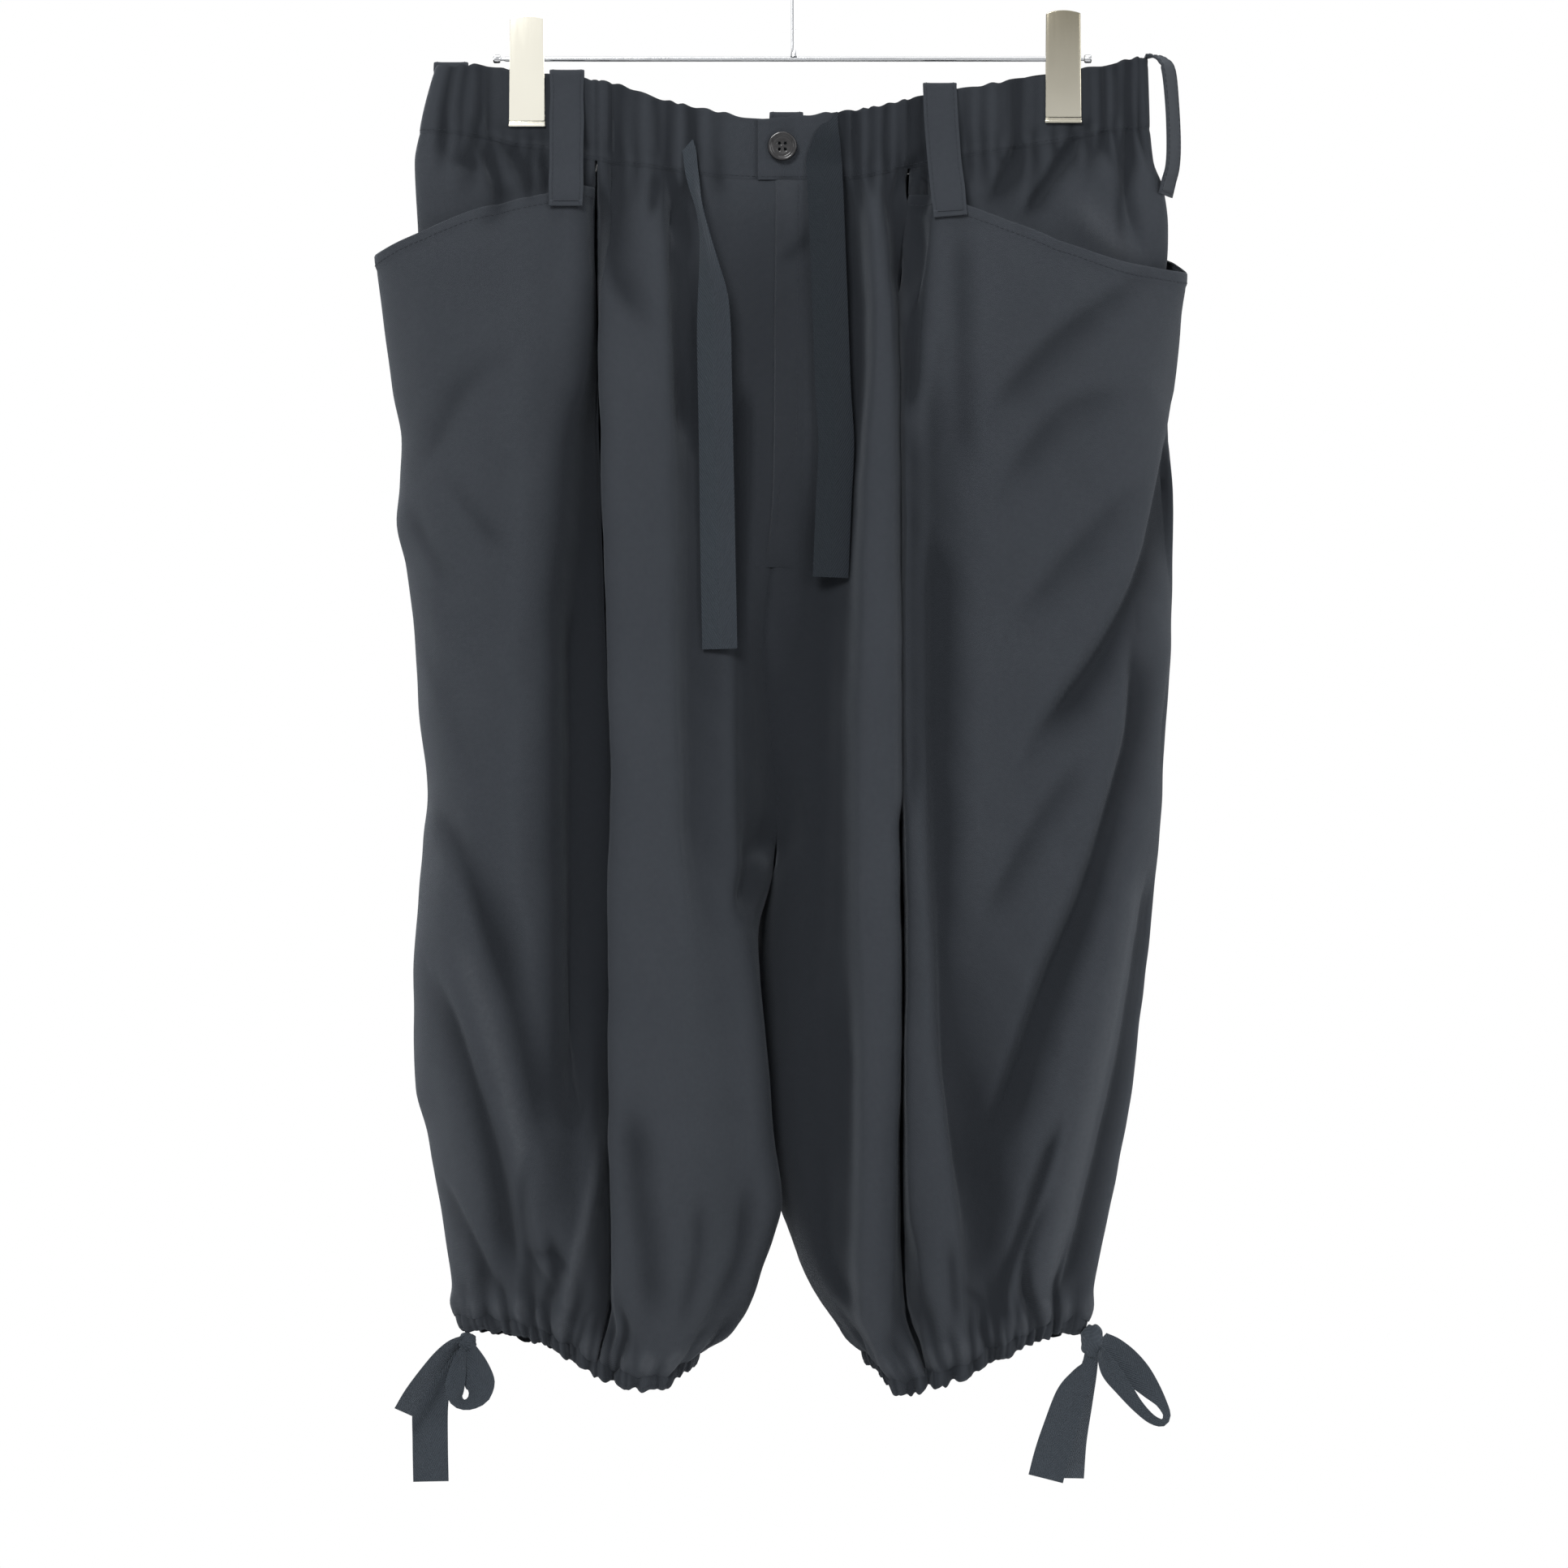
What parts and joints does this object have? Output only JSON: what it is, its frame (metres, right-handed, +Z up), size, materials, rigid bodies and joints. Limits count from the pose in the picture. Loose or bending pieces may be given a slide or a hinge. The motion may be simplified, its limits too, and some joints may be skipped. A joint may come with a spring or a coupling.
{
  "type": "balloon trousers on a clip hanger",
  "caption": "Cropped balloon trousers with a gathered waistband, fly, drawstring, big side pockets and gathered hems with ties, hung from a clip hanger.",
  "frame": {"origin": "where the hanger's hook bears on its rail, at the inside of the hook's top", "axes": "+Z up, +X to the right as seen from the front, the front of the trousers faces -Y"},
  "size_m": [0.4395, 0.111, 0.8946],
  "materials": {
    "cloth": "matte charcoal twill",
    "tape": "matte dark woven tape",
    "button_black": "polished black",
    "hanger_chrome": "polished",
    "clip_nickel": "satin nickel"
  },
  "bodies": {
    "root": {"back_left": "cloth", "back_right": "cloth", "belt_loop_back": "cloth", "belt_loop_front_left": "cloth", "belt_loop_front_right": "cloth", "belt_loop_side_left": "cloth", "belt_loop_side_right": "cloth", "button": "button_black", "clip_left": "clip_nickel", "clip_right": "clip_nickel", "drawstring_left": "tape", "drawstring_right": "tape", "fly_front": "cloth", "front_left": "cloth", "front_right": "cloth", "hanger_bar": "hanger_chrome", "hanger_hook": "hanger_chrome", "hem_bow_left": "tape", "hem_bow_right": "tape", "hem_casing_left": "cloth", "hem_casing_right": "cloth", "hem_tail_long_left": "tape", "hem_tail_long_right": "tape", "hip_left": "cloth", "hip_right": "cloth", "side_panel_left": "cloth", "side_panel_right": "cloth", "waistband_left": "cloth", "waistband_right": "cloth"}
  },
  "joints": []
}
